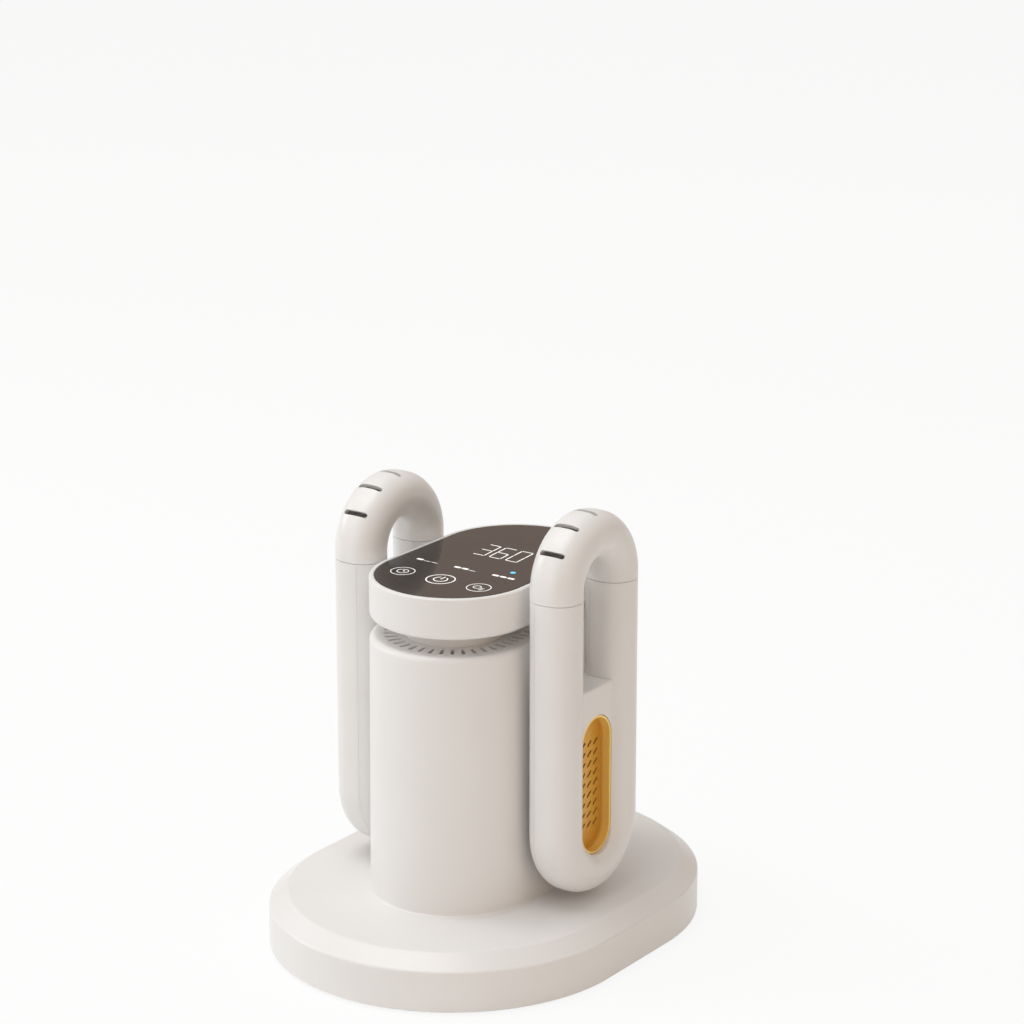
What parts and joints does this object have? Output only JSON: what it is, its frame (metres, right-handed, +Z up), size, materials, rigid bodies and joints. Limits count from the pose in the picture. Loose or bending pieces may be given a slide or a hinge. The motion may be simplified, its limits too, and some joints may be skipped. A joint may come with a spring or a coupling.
{
  "type": "electric shoe dryer",
  "caption": "Free-standing warm-air shoe and boot dryer: oval base, oval column with a touch-panel head, and looped side arms with pull-up hoops.",
  "frame": {"origin": "centre of the base, on the surface that the feet stand on", "axes": "+Z up; -Y towards the user, who reads the panel from there; +X to the user's right, so the arms lie at -X and +X and the base is longest along Y"},
  "size_m": [0.21, 0.2714, 0.2577],
  "materials": {
    "white_plastic": "warm white, fine satin gloss",
    "grey_plastic": "moulded, matte",
    "amber_gold": "amber gold, satin",
    "zinc_steel": "zinc plated",
    "rubber": "soft, matte",
    "black_plastic": "moulded, matte",
    "circuit_board": "green solder mask",
    "aluminium": "bare fins",
    "lit_marks": "milky, lit from behind",
    "panel_glass": "black, mirror gloss, opaque"
  },
  "bodies": {
    "housing": {"base_cover": "white_plastic", "base_plate": "grey_plastic", "ballast_plate": "zinc_steel", "foot_1": "rubber", "foot_2": "rubber", "foot_3": "rubber", "foot_4": "rubber", "base_screw_1": "zinc_steel", "base_screw_2": "zinc_steel", "base_screw_3": "zinc_steel", "base_screw_4": "zinc_steel", "column_screw_1": "zinc_steel", "column_screw_2": "zinc_steel", "cord_gland": "rubber", "column_shell": "white_plastic", "intake_grille": "white_plastic", "chassis": "grey_plastic", "power_board": "circuit_board", "transformer": "black_plastic", "relay": "black_plastic", "capacitor": "black_plastic", "air_manifold": "grey_plastic", "heater_frame": "black_plastic", "heater_core": "aluminium", "thermal_cutout": "zinc_steel", "ozone_module": "black_plastic", "fan_frame": "black_plastic", "fan_motor": "zinc_steel", "wire_harness": "black_plastic", "neck_tube": "white_plastic", "head_housing": "white_plastic", "head_board": "circuit_board", "digit_display": "lit_marks", "touch_pad_left": "black_plastic", "touch_pad_middle": "black_plastic", "touch_pad_right": "black_plastic", "touch_glass": "panel_glass", "arm_left_shell": "white_plastic", "arm_left_back": "white_plastic", "arm_left_grille": "amber_gold", "arm_left_collar_back": "black_plastic", "arm_left_collar_front": "black_plastic", "arm_left_mount": "grey_plastic", "arm_left_seal": "rubber", "arm_left_screw_back": "zinc_steel", "arm_left_screw_front": "zinc_steel", "arm_right_shell": "white_plastic", "arm_right_back": "white_plastic", "arm_right_grille": "amber_gold", "arm_right_collar_back": "black_plastic", "arm_right_collar_front": "black_plastic", "arm_right_mount": "grey_plastic", "arm_right_seal": "rubber", "arm_right_screw_back": "zinc_steel", "arm_right_screw_front": "zinc_steel"},
    "fan_rotor": {"impeller": "white_plastic", "motor_shaft": "zinc_steel"},
    "left_hoop": {"arm_left_hoop": "white_plastic"},
    "right_hoop": {"arm_right_hoop": "white_plastic"}
  },
  "joints": [
    {"name": "fan_spin", "type": "hinge", "parent": "housing", "child": "fan_rotor", "pos_m": [0, 0, 0.1556], "axis": [0, 0, 1], "continuous": true},
    {"name": "left_hoop_slide", "type": "slide", "parent": "housing", "child": "left_hoop", "axis": [0, 0, 1], "range_m": [0, 0.105]},
    {"name": "right_hoop_slide", "type": "slide", "parent": "housing", "child": "right_hoop", "axis": [0, 0, 1], "range_m": [0, 0.105]}
  ]
}
